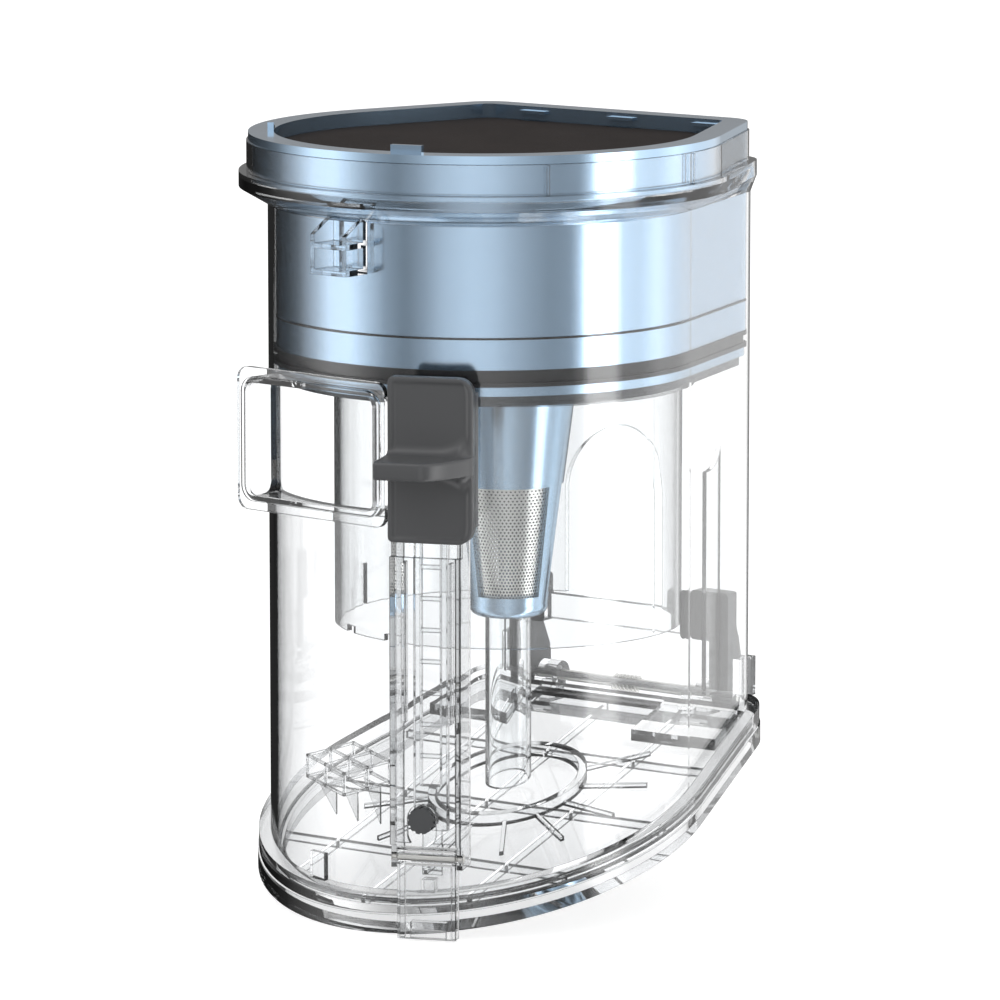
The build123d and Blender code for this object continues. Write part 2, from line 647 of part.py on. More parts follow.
def make_bin_door():
    lip = slanted_band(DOOR_OUT, DOOR_PLUG - FLOOR_T, FOOT_BASE, LIP_SEAM)
    wall = slanted_band(DOOR_PLUG, DOOR_PLUG - FLOOR_T, LIP_SEAM - 1, FLOOR_LEVEL)
    floor = prism(DOOR_PLUG, -REACH, REACH) & slab(FLOOR_LEVEL - FLOOR_T, FLOOR_LEVEL)
    door = lip + wall + floor
    door -= slanted_band(SEAL_OUT, DOOR_PLUG - SEAL_GROOVE, DOOR_SEAL_LOW, DOOR_SEAL_LOW + DOOR_SEAL_H)
    door += raised(at_cyclone(Cylinder(RING_R, 2 * REACH) - Cylinder(RING_R - RING_W, 2 * REACH)), RING_H)
    inner = prism(DOOR_PLUG - FLOOR_T, -REACH, REACH)
    for side in (-1, 1):
        x = sorted((side * BLOCK_INNER_X, side * REACH))
        door += raised(inner & block(x[0], x[1], BLOCK_FRONT_Y, REACH, -REACH, REACH), BLOCK_H)
    strip = block(-BLOCK_INNER_X - 1, BLOCK_INNER_X + 1, STRIP_FRONT_Y, REACH, -REACH, REACH)
    door += raised(inner & strip, BLOCK_H)
    for angle in RIB_DEGS:
        length = LONG_RIB_REACH if angle == LONG_RIB_DEG else RIB_REACH
        rib = Rot(0, 0, angle) * block(RING_R - 1, RING_R + length, -RIB_T / 2, RIB_T / 2, -REACH, REACH)
        door += raised(at_cyclone(rib) & inner, RIB_H)
    door += under_ribs(inner)
    door += catch_lug()
    for side in (-1, 1):
        door += door_knuckle(side)
    return door


def raised(column, height):
    """Part of an upright column that stands on the door's floor by a height."""
    return column & slab(FLOOR_LEVEL - 0.2, FLOOR_LEVEL + height)


def under_ribs(inner):
    """Ribs under the door's floor, in both directions."""
    ribs = []
    for i in (-1, 0, 1):
        x = i * UNDER_RIB_X
        y = i * UNDER_RIB_Y
        ribs.append(block(x - RIB_T / 2, x + RIB_T / 2, -REACH, REACH, -REACH, REACH))
        ribs.append(block(-REACH, REACH, y - RIB_T / 2, y + RIB_T / 2, -REACH, REACH))
    grid = ribs[0].fuse(*ribs[1:])
    return grid & inner & slab(FLOOR_LEVEL - FLOOR_T - UNDER_RIB_H, FLOOR_LEVEL - FLOOR_T + 0.2)


def catch_lug():
    """Tongue on the door's front edge that the catch's nose holds."""
    low = CATCH_LOW_Z + NOSE_H + SEAL_GAP
    half = LUG_W / 2
    lug = block(
        CHANNEL_X - half, CHANNEL_X + half, LUG_FRONT_Y, -round_front(DOOR_OUT) + 2 * RIB_T,
        low, low + LUG_H)
    return at_latch(lug)


def door_knuckle(side):
    """Arm and eye that hang the door on the hinge pin."""
    x = side * (BRACKET_HALF - ARM_W - KNUCKLE_W / 2 - SLIDE_GAP)
    eye = Pos(x, HINGE_Y, HINGE_Z) * Rot(0, 90, 0) * Cylinder(KNUCKLE_R, KNUCKLE_W)
    lip_z = slant_z(FOOT_BASE, REAR_Y)
    arm = block(x - KNUCKLE_W / 2, x + KNUCKLE_W / 2, REAR_Y, HINGE_Y + KNUCKLE_R - 1, lip_z + 0.6, HINGE_Z)
    foot_clear = prism(FOOT_OUT + 2 * SEAM_GAP, -REACH, REACH) & slab(LIP_SEAM, REACH)
    bore = Pos(x, HINGE_Y, HINGE_Z) * Rot(0, 90, 0) * Cylinder(HINGE_R + PIN_GAP, 3 * KNUCKLE_W)
    return (eye + arm) - foot_clear - bore


def make_door_seal():
    """Soft seal in a groove round the floor's edge."""
    return slanted_band(SEAL_OUT, DOOR_PLUG - SEAL_GROOVE, DOOR_SEAL_LOW, DOOR_SEAL_LOW + DOOR_SEAL_H)


def make_hinge_bracket(side):
    """Dark block on the flat side with an arm down to the hinge pin."""
    back = REAR_Y + WALL_OUT
    x0, x1 = sorted((side * BRACKET_INNER, side * BRACKET_HALF))
    plate = block(x0, x1, back, back + BRACKET_T, BRACKET_LOW_Z, BRACKET_LOW_Z + BRACKET_H)
    plate = fillet(plate.edges().filter_by(Axis.Y), 2.0)
    x = side * (BRACKET_HALF - ARM_W / 2)
    low = slant_z(FOOT_TOP, REAR_Y + FOOT_OUT) + 2 * SEAM_GAP
    rear = HINGE_Y + KNUCKLE_R
    arm = block(x - ARM_W / 2, x + ARM_W / 2, back, rear, low, BRACKET_LOW_Z + BRACKET_H / 3)
    slope = make_face(Polyline(
        (back + BRACKET_T, BRACKET_LOW_Z + BRACKET_H / 3), (rear + 1, low + KNUCKLE_R),
        (rear + 1, BRACKET_LOW_Z + BRACKET_H), (back + BRACKET_T, BRACKET_LOW_Z + BRACKET_H), close=True))
    arm -= Pos(-REACH, 0, 0) * extrude(Plane.YZ * slope, 2 * REACH)
    arm += block(
        x - ARM_W / 2, x + ARM_W / 2, REAR_Y + FOOT_OUT + 2 * SEAM_GAP, rear, HINGE_Z, low + 1)
    eye = Pos(x, HINGE_Y, HINGE_Z) * Rot(0, 90, 0) * Cylinder(KNUCKLE_R, ARM_W)
    bore = Pos(x, HINGE_Y, HINGE_Z) * Rot(0, 90, 0) * Cylinder(HINGE_R, 2 * ARM_W)
    return plate + arm + eye - bore


def make_hinge_pin():
    return Pos(0, HINGE_Y, HINGE_Z) * Rot(0, 90, 0) * Cylinder(HINGE_R, 2 * BRACKET_HALF)


def make_hinge_spring():
    """Torsion spring round the pin, between the door's eyes."""
    length = HINGE_SPRING_TURNS * HINGE_SPRING_PITCH
    path = Helix(HINGE_SPRING_PITCH, length, HINGE_SPRING_R)
    section = Plane(origin=path @ 0, z_dir=path % 0) * Circle(HINGE_SPRING_WIRE / 2)
    coil = sweep(section, path=path)
    return Pos(-length / 2, HINGE_Y, HINGE_Z) * Rot(0, 90, 0) * coil


def make_top_housing():
    """Blue rim with its collar, the filter's recess, a shelf and tabs."""
    rim = prism(0, RIM_Z, TOTAL_H, RIM)
    rim += prism(NECK_OUT, NECK_Z, RIM_Z, RIM)
    rim -= prism(RIM_IN, PAD_LOW_Z, TOTAL_H + 1, RIM)
    rim -= prism(RIM_IN - SHELF_W, 0, TOTAL_H, RIM)
    return rim + tabs()


def tabs():
    """Tabs on the rim: one at the front, one at the left and two ledges in the recess."""
    out = []
    inner = RIM_FRONT_R + RIM_IN
    for angle, width in ((TAB_DEG, TAB_W), (POST_DEG, TAB_W / 2)):
        tab = block(-width / 2, width / 2, -inner - TAB_T, -inner, TOTAL_H - RIM_T, TOTAL_H + TAB_H)
        out.append(Rot(0, 0, angle) * tab)
    ledge_z = TOTAL_H - RECESS_DEPTH / 2
    rear = RIM_REAR_Y + RIM_IN
    for x in LEDGE_XS:
        out.append(block(
            x - LEDGE_W / 2, x + LEDGE_W / 2, rear - LEDGE_REACH, rear + 1, ledge_z, ledge_z + LEDGE_T))
    return out[0].fuse(*out[1:])


def make_cyclone_barrel():
    """Blue barrel under the rim, open inside."""
    inner = BARREL_OUT - BARREL_WALL
    return band(BARREL_OUT, inner, GROOVE_Z + GROOVE_W, NECK_Z)


def make_lower_ring():
    """Blue ring below the parting line, with a spigot into the barrel and a floor step."""
    inner = BARREL_OUT - BARREL_WALL
    ring = band(BARREL_OUT, inner, RING_LOW_Z, GROOVE_Z)
    ring += band(BARREL_OUT - GROOVE_D, inner, GROOVE_Z - 1, GROOVE_Z + GROOVE_W)
    ring += band(inner + 0.4, PLATE_OUT - 4, SEAL_LOW_Z, RING_LOW_Z + 3)
    return ring


def make_main_seal():
    """Rubber band with two lips that closes the unit against the bin wall."""
    seat = BARREL_OUT - BARREL_WALL + 0.4
    body = band(SEAL_OUT - 1.4, seat, SEAL_LOW_Z, RING_LOW_Z)
    lip = SEAL_H / 4
    body += band(SEAL_OUT, seat, RING_LOW_Z - lip, RING_LOW_Z)
    body += band(SEAL_OUT, seat, SEAL_LOW_Z, SEAL_LOW_Z + lip)
    return body


def make_clamp_ring():
    """Blue ring that holds the seal from below."""
    return band(BARREL_OUT - 0.6, PLATE_OUT - 4, CLAMP_LOW_Z, SEAL_LOW_Z)


def make_seal_plate():
    """Dark plate that closes the unit's floor round the cone."""
    plate = prism(PLATE_OUT, PLATE_LOW_Z, CLAMP_LOW_Z)
    return plate - at_cyclone(Pos(0, 0, PLATE_LOW_Z) * Cylinder(CONE_TOP_R - 1.0, 4 * PLATE_H))


def cone_radius(z):
    """Outside radius of the cone at a height."""
    share = (z - CONE_LOW_Z) / (PLATE_LOW_Z - CONE_LOW_Z)
    return CONE_LOW_R + (CONE_TOP_R - CONE_LOW_R) * share


def cone_solid(low, high, inset):
    """Solid of the cone between two heights, drawn in by an inset."""
    return Pos(0, 0, (low + high) / 2) * Cone(
        cone_radius(low) - inset, cone_radius(high) - inset, high - low)


def make_vortex_cone():
    """Blue cone whose lower half is three open windows between ribs."""
    cone = cone_solid(CONE_LOW_Z, PLATE_LOW_Z, 0) - cone_solid(CONE_LOW_Z, PLATE_LOW_Z, CONE_WALL)
    ring = Pos(0, 0, CONE_LOW_Z + CONE_RING_T / 2) * (
        Cylinder(cone_radius(CONE_LOW_Z) - 1.0, CONE_RING_T) - Cylinder(TUBE_R + PIN_GAP, 2 * CONE_RING_T))
    cone += ring
    half = 180 / WINDOW_COUNT - WINDOW_RIB_DEG / 2
    far = 3 * CONE_TOP_R
    wedge = make_face(Polyline(
        (0, 0), (far * cos(radians(half)), -far * sin(radians(half))), (far, 0),
        (far * cos(radians(half)), far * sin(radians(half))), close=True))
    window = Pos(0, 0, WINDOW_LOW_Z) * extrude(wedge, WINDOW_TOP_Z - WINDOW_LOW_Z)
    for i in range(WINDOW_COUNT):
        cone -= Rot(0, 0, WINDOW_TURN_DEG + i * 360 / WINDOW_COUNT) * window
    return at_cyclone(cone)


def make_mesh_screen():
    """Thin steel cone inside the windows, with a pattern of holes."""
    low = CONE_LOW_Z + CONE_RING_T + PIN_GAP
    high = WINDOW_TOP_Z + 2.0
    gap = CONE_WALL + PIN_GAP
    screen = cone_solid(low, high, gap) - cone_solid(low, high, gap + SCREEN_T)
    half = 180 / WINDOW_COUNT - WINDOW_RIB_DEG / 2
    pitch_z = (WINDOW_TOP_Z - WINDOW_LOW_Z) / HOLE_ROWS
    pitch_deg = 2 * half / HOLE_COLS
    diamond = make_face(Polyline(
        (HOLE_W / 2, 0), (0, HOLE_H / 2), (-HOLE_W / 2, 0), (0, -HOLE_H / 2), close=True))
    cutter = extrude(Plane.YZ * diamond, 2 * CONE_TOP_R)
    holes = []
    for window in range(WINDOW_COUNT):
        for row in range(HOLE_ROWS):
            for col in range(HOLE_COLS):
                shift = 0.25 if row % 2 else -0.25
                turn = WINDOW_TURN_DEG + window * 360 / WINDOW_COUNT
                turn += (col - (HOLE_COLS - 1) / 2 + shift) * pitch_deg
                holes.append(Pos(0, 0, WINDOW_LOW_Z + (row + 0.5) * pitch_z) * Rot(0, 0, turn) * cutter)
    return at_cyclone(screen.cut(*holes))


def make_cone_cap():
    """Rounded blue foot of the cone, with the tube's seat."""
    radius = cone_radius(CONE_LOW_Z)
    cap = Pos(0, 0, CONE_LOW_Z - CAP_H / 2) * Cylinder(radius, CAP_H)
    cap = fillet(cap.edges().filter_by(GeomType.CIRCLE).group_by(Axis.Z)[0], CAP_H * 0.8)
    return at_cyclone(cap - Pos(0, 0, CONE_LOW_Z) * Cylinder(TUBE_R + PIN_GAP, 3 * CAP_H))


def make_dust_tube():
    """Clear tube from the cone's foot to the door, cut parallel to the door."""
    high = CONE_LOW_Z - CAP_H + TUBE_SEAT_T
    tube = Pos(0, 0, high / 2) * (Cylinder(TUBE_R, high) - Cylinder(TUBE_R - TUBE_T, high + 2))
    tube = at_cyclone(tube)
    return tube - slab(-REACH / 2, FLOOR_LEVEL + TUBE_FLOOR_GAP)


def make_inner_shroud():
    """Clear cylinder under the plate, with a rear arch, a side slot and notches in its edge."""
    high = PLATE_LOW_Z
    height = high - SHROUD_LOW_Z
    centre = (high + SHROUD_LOW_Z) / 2
    shroud = Pos(0, 0, centre) * (Cylinder(SHROUD_R, height) - Cylinder(SHROUD_R - SHROUD_T, height + 2))
    flange = Pos(0, 0, high - SHROUD_T / 2) * (
        Cylinder(SHROUD_R + 3.0, SHROUD_T) - Cylinder(SHROUD_R - 4.0, SHROUD_T + 2))
    arch_spring = ARCH_TOP_Z - ARCH_W / 2
    arch = block(0, 2 * SHROUD_R, -ARCH_W / 2, ARCH_W / 2, SHROUD_LOW_Z - 1, arch_spring)
    arch += Pos(SHROUD_R, 0, arch_spring) * Rot(0, 90, 0) * Cylinder(ARCH_W / 2, 2 * SHROUD_R)
    shroud = shroud + flange - Rot(0, 0, ARCH_DEG) * arch
    slot = block(0, 2 * SHROUD_R, -SIDE_SLOT_W / 2, SIDE_SLOT_W / 2, SHROUD_LOW_Z - 1, SIDE_SLOT_TOP_Z)
    shroud -= Rot(0, 0, SIDE_SLOT_DEG) * slot
    for angle in NOTCH_DEG:
        notch = block(0, 2 * SHROUD_R, -NOTCH_W / 2, NOTCH_W / 2, SHROUD_LOW_Z - 1, SHROUD_LOW_Z + NOTCH_H)
        shroud -= Rot(0, 0, angle) * notch
    return at_cyclone(shroud)


def make_filter_pad():
    """Dark foam pad in the recess."""
    pad = prism(RIM_IN - SLIDE_GAP, PAD_LOW_Z, PAD_TOP_Z, RIM)
    half = LEDGE_W / 2 + SLIDE_GAP
    rear = RIM_REAR_Y + RIM_IN
    for x in LEDGE_XS:
        pad -= block(x - half, x + half, rear - LEDGE_REACH - SLIDE_GAP, rear + 1, PAD_LOW_Z - 1, TOTAL_H)
    return pad


MAKERS = {
    "bin_shell": make_bin_shell,
    "inlet_duct": make_inlet_duct,
    "channel_cover": make_channel_cover,
    "push_rod": make_push_rod,
    "rod_pin": make_rod_pin,
    "release_lever": make_release_lever,
    "lever_spring": make_lever_spring,
    "door_catch": make_door_catch,
    "catch_pin": make_catch_pin,
    "bin_door": make_bin_door,
    "door_seal": make_door_seal,
    "hinge_bracket_left": lambda: make_hinge_bracket(-1),
    "hinge_bracket_right": lambda: make_hinge_bracket(1),
    "hinge_pin": make_hinge_pin,
    "hinge_spring": make_hinge_spring,
    "top_housing": make_top_housing,
    "cyclone_barrel": make_cyclone_barrel,
    "lower_ring": make_lower_ring,
    "main_seal": make_main_seal,
    "clamp_ring": make_clamp_ring,
    "seal_plate": make_seal_plate,
    "vortex_cone": make_vortex_cone,
    "mesh_screen": make_mesh_screen,
    "cone_cap": make_cone_cap,
    "dust_tube": make_dust_tube,
    "inner_shroud": make_inner_shroud,
    "filter_pad": make_filter_pad,
}

os.makedirs("parts", exist_ok=True)
for name, maker in MAKERS.items():
    export_step(Pos(0, 0, -TOTAL_H) * maker(), f"parts/{name}.step")
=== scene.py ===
"""Looks of the cyclone dust bin: clear mouldings, blue metallic cyclone, perforated steel screen."""
from math import acos, atan2, cos, hypot, pi, radians, sin, sqrt

import bpy
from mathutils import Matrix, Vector


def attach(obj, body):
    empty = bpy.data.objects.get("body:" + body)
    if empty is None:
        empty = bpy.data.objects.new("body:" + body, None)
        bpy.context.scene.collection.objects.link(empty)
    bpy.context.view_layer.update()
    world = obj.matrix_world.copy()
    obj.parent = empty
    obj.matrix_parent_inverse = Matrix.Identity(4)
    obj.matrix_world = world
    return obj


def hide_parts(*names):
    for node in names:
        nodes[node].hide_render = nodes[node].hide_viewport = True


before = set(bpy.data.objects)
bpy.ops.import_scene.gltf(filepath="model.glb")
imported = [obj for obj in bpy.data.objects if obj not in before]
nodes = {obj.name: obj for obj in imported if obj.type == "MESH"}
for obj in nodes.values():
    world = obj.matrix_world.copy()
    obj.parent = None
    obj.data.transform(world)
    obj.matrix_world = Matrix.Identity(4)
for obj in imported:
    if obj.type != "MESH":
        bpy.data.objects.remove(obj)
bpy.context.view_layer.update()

# Sizes in millimetres, heights measured up from the foot

MM = 0.001
HEIGHT = 300.0
CYCLONE = (4.8, 8.0)
CONE_TOP_R = 27.0
CONE_LOW_R = 15.6
CONE_LOW_Z = 114.5
CONE_TOP_Z = 203.6
CONE_WALL = 1.8
WINDOW_TOP_Z = 162.0
LATCH_DEG = 20.0
SLANT = 0.2972
FLOOR_LEVEL = 36.8


def point(x, y, z):
    """A place in the builder's millimetres, measured up from the foot, as a frame position."""
    return Vector((x * MM, y * MM, (z - HEIGHT) * MM))


# Shared effects

def new_group(name, inputs, outputs):
    """Empty node group with float or colour sockets."""
    group = bpy.data.node_groups.new(name, "ShaderNodeTree")
    for socket, kind, value in inputs:
        made = group.interface.new_socket(socket, in_out="INPUT", socket_type=kind)
        if value is not None:
            made.default_value = value
    for socket, kind in outputs:
        group.interface.new_socket(socket, in_out="OUTPUT", socket_type=kind)
    start = group.nodes.new("NodeGroupInput")
    end = group.nodes.new("NodeGroupOutput")
    return group, start, end


def moulded_skin():
    """Faint unevenness of a moulded skin: a height for bump and a spread for roughness."""
    group, start, end = new_group(
        "moulded_skin",
        [("Scale", "NodeSocketFloat", 60.0),
         ("Low", "NodeSocketFloat", 0.2),
         ("High", "NodeSocketFloat", 0.3)],
        [("Height", "NodeSocketFloat"), ("Roughness", "NodeSocketFloat")])
    tree = group.nodes
    link = group.links.new
    place = tree.new("ShaderNodeTexCoord")
    wave = tree.new("ShaderNodeTexNoise")
    wave.inputs["Detail"].default_value = 3.0
    link(place.outputs["Object"], wave.inputs["Vector"])
    link(start.outputs["Scale"], wave.inputs["Scale"])
    spread = tree.new("ShaderNodeMapRange")
    link(wave.outputs["Fac"], spread.inputs["Value"])
    link(start.outputs["Low"], spread.inputs["To Min"])
    link(start.outputs["High"], spread.inputs["To Max"])
    link(wave.outputs["Fac"], end.inputs["Height"])
    link(spread.outputs["Result"], end.inputs["Roughness"])
    return group


def fine_grain():
    """Close grain of textured plastic, foam or rubber."""
    group, start, end = new_group(
        "fine_grain", [("Scale", "NodeSocketFloat", 900.0)],
        [("Height", "NodeSocketFloat"), ("Mask", "NodeSocketFloat")])
    tree = group.nodes
    link = group.links.new
    place = tree.new("ShaderNodeTexCoord")
    cells = tree.new("ShaderNodeTexVoronoi")
    link(place.outputs["Object"], cells.inputs["Vector"])
    link(start.outputs["Scale"], cells.inputs["Scale"])
    cloud = tree.new("ShaderNodeTexNoise")
    cloud.inputs["Scale"].default_value = 35.0
    link(place.outputs["Object"], cloud.inputs["Vector"])
    link(cells.outputs["Distance"], end.inputs["Height"])
    link(cloud.outputs["Fac"], end.inputs["Mask"])
    return group


EDGE_BAND = 0.0006


def rounded_and_shaded_edge():
    """Mask of the narrow band along a moulding's edges, where clear plastic gets a painted shade and
    looks dark.
    """
    group, start, end = new_group("rounded_and_shaded_edge", [], [("Edge", "NodeSocketFloat")])
    tree = group.nodes
    link = group.links.new
    rounded = tree.new("ShaderNodeBevel")
    rounded.samples = 4
    rounded.inputs["Radius"].default_value = EDGE_BAND
    surface = tree.new("ShaderNodeNewGeometry")
    dot = tree.new("ShaderNodeVectorMath")
    dot.operation = "DOT_PRODUCT"
    link(rounded.outputs["Normal"], dot.inputs[0])
    link(surface.outputs["Normal"], dot.inputs[1])
    band = tree.new("ShaderNodeMapRange")
    band.inputs["From Min"].default_value = 0.985
    band.inputs["From Max"].default_value = 0.80
    link(dot.outputs["Value"], band.inputs["Value"])
    link(band.outputs["Result"], end.inputs["Edge"])
    return group


SKIN = moulded_skin()
GRAIN = fine_grain()
EDGE = rounded_and_shaded_edge()


def new_material(name, colour, slot_name, metallic=0.0, roughness=0.3, **sockets):
    """Principled material with constants set on the shader's own sockets."""
    made = bpy.data.materials.new(name)
    made.use_nodes = True
    shader = made.node_tree.nodes["Principled BSDF"]
    shader.inputs["Base Color"].default_value = (*colour, 1.0)
    shader.inputs["Metallic"].default_value = metallic
    shader.inputs["Roughness"].default_value = roughness
    for socket, value in sockets.items():
        shader.inputs[socket.replace("_", " ")].default_value = value
    made["slot"] = slot_name
    return made, shader


def add_skin(made, shader, scale, low, high, depth):
    """Feed the moulded skin into a material's roughness and bump."""
    tree = made.node_tree
    skin = tree.nodes.new("ShaderNodeGroup")
    skin.node_tree = SKIN
    skin.inputs["Scale"].default_value = scale
    skin.inputs["Low"].default_value = low
    skin.inputs["High"].default_value = high
    bump = tree.nodes.new("ShaderNodeBump")
    bump.inputs["Strength"].default_value = 0.3
    bump.inputs["Distance"].default_value = depth
    tree.links.new(skin.outputs["Height"], bump.inputs["Height"])
    tree.links.new(skin.outputs["Roughness"], shader.inputs["Roughness"])
    tree.links.new(bump.outputs["Normal"], shader.inputs["Normal"])


def add_grain(made, shader, scale, depth, light, dark):
    """Feed the close grain into a material's bump and colour."""
    tree = made.node_tree
    grain = tree.nodes.new("ShaderNodeGroup")
    grain.node_tree = GRAIN
    grain.inputs["Scale"].default_value = scale
    bump = tree.nodes.new("ShaderNodeBump")
    bump.inputs["Strength"].default_value = 0.5
    bump.inputs["Distance"].default_value = depth
    mix = tree.nodes.new("ShaderNodeMix")
    mix.data_type = "RGBA"
    mix.inputs["A"].default_value = (*dark, 1.0)
    mix.inputs["B"].default_value = (*light, 1.0)
    tree.links.new(grain.outputs["Mask"], mix.inputs["Factor"])
    tree.links.new(mix.outputs["Result"], shader.inputs["Base Color"])
    tree.links.new(grain.outputs["Height"], bump.inputs["Height"])
    tree.links.new(bump.outputs["Normal"], shader.inputs["Normal"])


CLEAR_TINT = (0.10, 0.12, 0.13, 1.0)
CLEAR_DENSITY = 12.0
# Painted shade: dark base colour given to clear plastic along its moulding edges
EDGE_SHADE_COLOUR = (0.07, 0.073, 0.077)
# Painted shade: dark base colour given to clear plastic where its wall is seen edge on, over the facing
# range below
GRAZING_SHADE_COLOUR = (0.03, 0.031, 0.033)
GRAZING_LOW = 0.80
GRAZING_HIGH = 0.96


def painted_shade_mix(tree, mask, low_colour, high_colour):
    """Colour that goes from one value to another by a mask; each is a socket or three numbers."""
    mix = tree.nodes.new("ShaderNodeMix")
    mix.data_type = "RGBA"
    for name, colour in (("A", low_colour), ("B", high_colour)):
        if isinstance(colour, tuple):
            mix.inputs[name].default_value = (*colour, 1.0)
        else:
            tree.links.new(colour, mix.inputs[name])
    tree.links.new(mask, mix.inputs["Factor"])
    return mix.outputs["Result"]


def clear_plastic(name, tint, low, high, slot_name="clear_plastic"):
    """Clear polished plastic with painted shade: darker along its edges and where the wall is seen edge
    on.
    """
    made, shader = new_material(name, tint, slot_name, roughness=low, IOR=1.49, Transmission_Weight=1.0)
    add_skin(made, shader, 14.0, low, high, 0.00004)
    tree = made.node_tree
    edge = tree.nodes.new("ShaderNodeGroup")
    edge.node_tree = EDGE
    grazing = tree.nodes.new("ShaderNodeLayerWeight")
    grazing.inputs["Blend"].default_value = 0.5
    steep = tree.nodes.new("ShaderNodeMapRange")
    steep.interpolation_type = "SMOOTHSTEP"
    steep.inputs["From Min"].default_value = GRAZING_LOW
    steep.inputs["From Max"].default_value = GRAZING_HIGH
    tree.links.new(grazing.outputs["Facing"], steep.inputs["Value"])
    # Painted shade: darker base colour where the wall is seen edge on
    grazing_shaded_colour = painted_shade_mix(tree, steep.outputs["Result"], tint, GRAZING_SHADE_COLOUR)
    # Painted shade: darker base colour along the moulding's edges
    edge_shaded_colour = painted_shade_mix(tree, edge.outputs["Edge"], grazing_shaded_colour, EDGE_SHADE_COLOUR)
    tree.links.new(edge_shaded_colour, shader.inputs["Base Color"])
    absorb = tree.nodes.new("ShaderNodeVolumeAbsorption")
    absorb.inputs["Color"].default_value = CLEAR_TINT
    absorb.inputs["Density"].default_value = CLEAR_DENSITY
    tree.links.new(absorb.outputs["Volume"], tree.nodes["Material Output"].inputs["Volume"])
    return made


def make_materials():
    """Every finish of the bin."""
    out = {}
    out["clear"] = clear_plastic("clear_moulding", (0.985, 0.99, 0.995), 0.0, 0.015)
    out["clear_inner"] = clear_plastic("clear_inner_moulding", (0.97, 0.98, 0.985), 0.0, 0.03)
    out["clear_door"] = clear_plastic("clear_door_moulding", (0.975, 0.98, 0.985), 0.0, 0.02)
    out["soft_clear"] = clear_plastic("soft_clear_seal", (0.93, 0.945, 0.95), 0.06, 0.14, "soft_clear")
    made, shader = new_material(
        "blue_metallic", (0.40, 0.555, 0.72), "blue_plastic", metallic=0.9, roughness=0.14,
        Coat_Weight=0.6, Coat_Roughness=0.04)
    add_skin(made, shader, 40.0, 0.10, 0.17, 0.00002)
    out["blue"] = made
    made, shader = new_material(
        "blue_ring", (0.42, 0.57, 0.72), "blue_plastic", metallic=0.85, roughness=0.2, Coat_Weight=0.4)
    add_skin(made, shader, 60.0, 0.16, 0.24, 0.00002)
    out["blue_ring"] = made
    made, shader = new_material("lever_grey", (0.085, 0.087, 0.091), "dark_plastic", roughness=0.34)
    add_skin(made, shader, 120.0, 0.28, 0.40, 0.00003)
    out["dark"] = made
    made, shader = new_material("bracket_grey", (0.075, 0.078, 0.082), "dark_plastic", roughness=0.4)
    add_skin(made, shader, 160.0, 0.34, 0.48, 0.00003)
    out["bracket"] = made
    made, shader = new_material("seal_rubber", (0.022, 0.023, 0.025), "seal_rubber", roughness=0.55)
    add_grain(made, shader, 2400.0, 0.00003, (0.03, 0.031, 0.034), (0.016, 0.016, 0.018))
    out["rubber"] = made
    made, shader = new_material("screen_steel", (0.78, 0.77, 0.74), "steel", metallic=0.8, roughness=0.35)
    add_skin(made, shader, 300.0, 0.28, 0.42, 0.00001)
    out["steel"] = made
    # Painted shade: dark steel for the inside of the screen and the walls of its holes, where shade falls
    made, shader = new_material(
        "screen_painted_shade", (0.10, 0.098, 0.094), "steel", metallic=0.6, roughness=0.5)
    add_skin(made, shader, 300.0, 0.42, 0.58, 0.00001)
    out["screen_painted_shade"] = made
    made, shader = new_material(
        "filter_foam", (0.03, 0.025, 0.023), "filter_foam", roughness=0.95,
        Specular_IOR_Level=0.1)
    add_grain(made, shader, 1400.0, 0.0004, (0.033, 0.027, 0.025), (0.02, 0.0165, 0.0155))
    out["foam"] = made
    made, shader = new_material(
        "smoke_plate", (0.30, 0.33, 0.36), "smoke_plastic", roughness=0.05,
        IOR=1.49, Transmission_Weight=0.75)
    add_skin(made, shader, 20.0, 0.03, 0.07, 0.00003)
    out["smoke"] = made
    return out


MATERIALS = make_materials()


def finish_with(obj, key):
    """Give a piece one of the bin's finishes."""
    obj.data.materials.clear()
    obj.data.materials.append(MATERIALS[key])


NODE_FINISH = {
    "bin_shell": "clear", "inlet_duct": "clear", "channel_cover": "clear", "push_rod": "clear_inner",
    "rod_pin": "bracket", "release_lever": "dark", "lever_spring": "steel", "door_catch": "clear",
    "catch_pin": "steel", "bin_door": "clear_door", "door_seal": "soft_clear",
    "hinge_bracket_left": "bracket", "hinge_bracket_right": "bracket", "hinge_pin": "steel",
    "hinge_spring": "steel", "top_housing": "blue", "cyclone_barrel": "blue", "lower_ring": "blue",
    "main_seal": "rubber", "clamp_ring": "blue_ring", "seal_plate": "smoke", "vortex_cone": "blue_ring",
    "mesh_screen": "steel", "cone_cap": "blue_ring", "dust_tube": "clear_inner",
    "inner_shroud": "clear_inner", "filter_pad": "foam",
}
for name, key in NODE_FINISH.items():
    finish_with(nodes[name], key)


def soften_edges(obj, width, limit=40):
    """Narrow rounding along the sharp edges of a moulding."""
    bevel = obj.modifiers.new("rounded_and_shaded_edge", "BEVEL")
    bevel.width = width
    bevel.segments = 2
    bevel.limit_method = "ANGLE"
    bevel.angle_limit = radians(limit)
    bevel.harden_normals = True


for name in ("hinge_bracket_left", "hinge_bracket_right", "rod_pin"):
    soften_edges(nodes[name], 0.0005)
for name in ("top_housing", "lower_ring", "clamp_ring"):
    soften_edges(nodes[name], 0.0003, 60)


